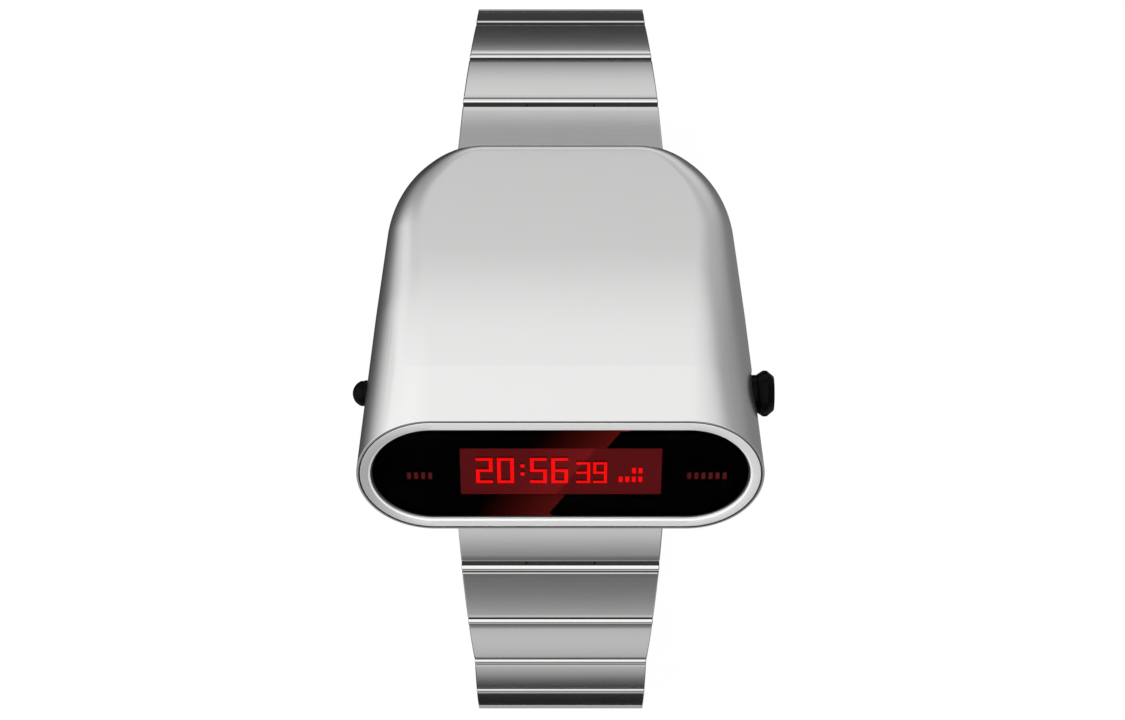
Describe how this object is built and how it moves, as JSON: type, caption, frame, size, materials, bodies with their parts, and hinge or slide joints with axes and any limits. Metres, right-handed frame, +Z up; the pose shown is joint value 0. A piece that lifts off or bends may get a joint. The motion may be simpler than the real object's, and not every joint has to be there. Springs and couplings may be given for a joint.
{
  "type": "digital wristwatch",
  "caption": "Digital wristwatch: a smooth cowl-shaped steel case with an inclined pill-shaped display, two side buttons and a steel link bracelet with a folding clasp.",
  "frame": {"origin": "middle of the case back's flat outer face, where the watch lies on the wrist", "axes": "+Z up out of the case back through the watch, +X to the wearer's right across the case, -Y towards the inclined face, +Y to the rear of the case"},
  "size_m": [0.043, 0.079, 0.0719],
  "materials": {
    "case_steel": "satin, bead-blasted",
    "ring_steel": "fine satin with polished bevel",
    "link_steel": "satin plates with polished edges",
    "clasp_steel": "satin",
    "pin_steel": "ground",
    "spring_steel": "drawn wire",
    "lens_glass": "polished mineral glass",
    "red_filter": "tinted, polished",
    "mask_black": "gloss black",
    "digit_red": "lit red segments",
    "board_red": "dark red",
    "button_black": "polished black",
    "rubber_black": "moulded",
    "flex_amber": "polyimide film",
    "frame_plastic": "moulded",
    "board_green": "solder mask",
    "chip_black": "moulded",
    "can_metal": "drawn can",
    "contact_gold": "plated",
    "cell_steel": "bright"
  },
  "bodies": {
    "case": {"case_shell": "case_steel", "case_back": "case_steel", "case_back_screws": "pin_steel", "case_back_gasket": "rubber_black", "lens_ring": "ring_steel", "lens": "lens_glass", "lens_gasket": "rubber_black", "mask_plate": "mask_black", "red_filter": "red_filter", "display_board": "board_red", "display_digits": "digit_red", "display_flex": "flex_amber", "module_frame": "frame_plastic", "circuit_board": "board_green", "board_screws": "pin_steel", "processor_chip": "chip_black", "crystal_can": "can_metal", "trimmer": "contact_gold", "battery_cells": "cell_steel", "battery_contact": "contact_gold", "battery_strap": "contact_gold", "switch_contacts": "contact_gold", "left_button_spring": "spring_steel", "left_button_seal": "rubber_black", "right_button_spring": "spring_steel", "right_button_seal": "rubber_black", "front_spring_bar": "pin_steel", "rear_spring_bar": "pin_steel"},
    "left_button": {"left_button": "button_black", "left_button_clip": "pin_steel"},
    "right_button": {"right_button": "button_black", "right_button_clip": "pin_steel"},
    "front_link_1": {"front_link_1": "link_steel"},
    "front_link_2": {"front_link_2": "link_steel"},
    "front_link_3": {"front_link_3": "link_steel"},
    "front_link_4": {"front_link_4": "link_steel"},
    "front_link_5": {"front_link_5": "link_steel"},
    "front_link_6": {"front_link_6": "link_steel"},
    "front_link_7": {"front_link_7": "link_steel"},
    "front_link_8": {"front_link_8": "link_steel"},
    "front_link_9": {"front_link_9": "link_steel", "clasp_spring_bar": "pin_steel"},
    "rear_link_1": {"rear_link_1": "link_steel"},
    "rear_link_2": {"rear_link_2": "link_steel"},
    "rear_link_3": {"rear_link_3": "link_steel"},
    "rear_link_4": {"rear_link_4": "link_steel"},
    "rear_link_5": {"rear_link_5": "link_steel"},
    "rear_link_6": {"rear_link_6": "link_steel"},
    "rear_link_7": {"rear_link_7": "link_steel"},
    "rear_link_8": {"rear_link_8": "link_steel"},
    "rear_link_9": {"rear_link_9": "link_steel"},
    "clasp_inner": {"clasp_inner_blade": "clasp_steel"},
    "clasp_outer": {"clasp_outer_blade": "clasp_steel", "clasp_fold_pin": "pin_steel"},
    "clasp_cover": {"clasp_cover": "clasp_steel", "clasp_hinge_pin": "pin_steel"},
    "clasp_left_release": {"clasp_left_release": "clasp_steel"},
    "clasp_right_release": {"clasp_right_release": "clasp_steel"}
  },
  "joints": [
    {"name": "rear_hinge_1", "type": "hinge", "parent": "case", "child": "rear_link_1", "pos_m": [0, 0.0178, 0.002], "axis": [1, 0, 0], "range_deg": [0, 20]},
    {"name": "rear_hinge_2", "type": "hinge", "parent": "rear_link_1", "child": "rear_link_2", "pos_m": [0, 0.0249, -0.00169], "axis": [1, 0, 0], "range_deg": [0, 16.5]},
    {"name": "rear_hinge_3", "type": "hinge", "parent": "rear_link_2", "child": "rear_link_3", "pos_m": [0, 0.03065, -0.00725], "axis": [1, 0, 0], "range_deg": [0, 8]},
    {"name": "rear_hinge_4", "type": "hinge", "parent": "rear_link_3", "child": "rear_link_4", "pos_m": [0, 0.03558, -0.01356], "axis": [1, 0, 0], "range_deg": [0, 17.5]},
    {"name": "rear_hinge_5", "type": "hinge", "parent": "rear_link_4", "child": "rear_link_5", "pos_m": [0, 0.03838, -0.02105], "axis": [1, 0, 0], "range_deg": [0, 20.5]},
    {"name": "rear_hinge_6", "type": "hinge", "parent": "rear_link_5", "child": "rear_link_6", "pos_m": [0, 0.03838, -0.02905], "axis": [1, 0, 0], "range_deg": [0, 16.04]},
    {"name": "rear_hinge_7", "type": "hinge", "parent": "rear_link_6", "child": "rear_link_7", "pos_m": [0, 0.03617, -0.03674], "axis": [1, 0, 0], "range_deg": [0, 16.04]},
    {"name": "rear_hinge_8", "type": "hinge", "parent": "rear_link_7", "child": "rear_link_8", "pos_m": [0, 0.03192, -0.04352], "axis": [1, 0, 0], "range_deg": [0, 16.04]},
    {"name": "rear_hinge_9", "type": "hinge", "parent": "rear_link_8", "child": "rear_link_9", "pos_m": [0, 0.02596, -0.04886], "axis": [1, 0, 0], "range_deg": [0, 16.04]},
    {"name": "front_hinge_1", "type": "hinge", "parent": "case", "child": "front_link_1", "pos_m": [0, -0.016, 0.002], "axis": [-1, 0, 0], "range_deg": [0, 14]},
    {"name": "front_hinge_2", "type": "hinge", "parent": "front_link_1", "child": "front_link_2", "pos_m": [0, -0.02319, -0.00151], "axis": [-1, 0, 0], "range_deg": [0, 21]},
    {"name": "front_hinge_3", "type": "hinge", "parent": "front_link_2", "child": "front_link_3", "pos_m": [0, -0.02865, -0.00736], "axis": [-1, 0, 0], "range_deg": [0, 11]},
    {"name": "front_hinge_4", "type": "hinge", "parent": "front_link_3", "child": "front_link_4", "pos_m": [0, -0.03289, -0.01414], "axis": [-1, 0, 0], "range_deg": [0, 8]},
    {"name": "front_hinge_5", "type": "hinge", "parent": "front_link_4", "child": "front_link_5", "pos_m": [0, -0.03614, -0.02145], "axis": [-1, 0, 0], "range_deg": [0, 10]},
    {"name": "front_hinge_6", "type": "hinge", "parent": "front_link_5", "child": "front_link_6", "pos_m": [0, -0.03807, -0.02921], "axis": [-1, 0, 0], "range_deg": [0, 13]},
    {"name": "front_hinge_7", "type": "hinge", "parent": "front_link_6", "child": "front_link_7", "pos_m": [0, -0.03821, -0.03721], "axis": [-1, 0, 0], "range_deg": [0, 20.97]},
    {"name": "front_hinge_8", "type": "hinge", "parent": "front_link_7", "child": "front_link_8", "pos_m": [0, -0.03548, -0.04473], "axis": [-1, 0, 0], "range_deg": [0, 20.97]},
    {"name": "front_hinge_9", "type": "hinge", "parent": "front_link_8", "child": "front_link_9", "pos_m": [0, -0.03024, -0.05077], "axis": [-1, 0, 0], "range_deg": [0, 20.97]},
    {"name": "clasp_hinge", "type": "hinge", "parent": "rear_link_9", "child": "clasp_inner", "pos_m": [0, 0.01876, -0.05234], "axis": [1, 0, 0], "range_deg": [0, 22.83]},
    {"name": "clasp_fold", "type": "hinge", "parent": "clasp_inner", "child": "clasp_outer", "pos_m": [0, -0.0152, -0.05392], "axis": [-1, 0, 0], "range_deg": [0, 150]},
    {"name": "clasp_cover_hinge", "type": "hinge", "parent": "clasp_outer", "child": "clasp_cover", "pos_m": [0, 0.0166, -0.05306], "axis": [-1, 0, 0], "range_deg": [-150, 0]},
    {"name": "left_button_press", "type": "slide", "parent": "case", "child": "left_button", "axis": [1, 0, 0], "range_m": [0, 0.0008], "stiffness_N_per_m": 1200, "springref_m": -0.0004, "deforming": ["left_button_spring"]},
    {"name": "right_button_press", "type": "slide", "parent": "case", "child": "right_button", "axis": [-1, 0, 0], "range_m": [0, 0.0008], "stiffness_N_per_m": 1200, "springref_m": -0.0004, "deforming": ["right_button_spring"]},
    {"name": "left_release_press", "type": "slide", "parent": "clasp_cover", "child": "clasp_left_release", "axis": [1, 0, 0], "range_m": [0, 0.0006], "stiffness_N_per_m": 1500, "springref_m": -0.0004},
    {"name": "right_release_press", "type": "slide", "parent": "clasp_cover", "child": "clasp_right_release", "axis": [-1, 0, 0], "range_m": [0, 0.0006], "stiffness_N_per_m": 1500, "springref_m": -0.0004}
  ],
  "couplings": [
    {"joint": "clasp_cover_hinge", "follows": "clasp_fold", "ratio": -1}
  ]
}
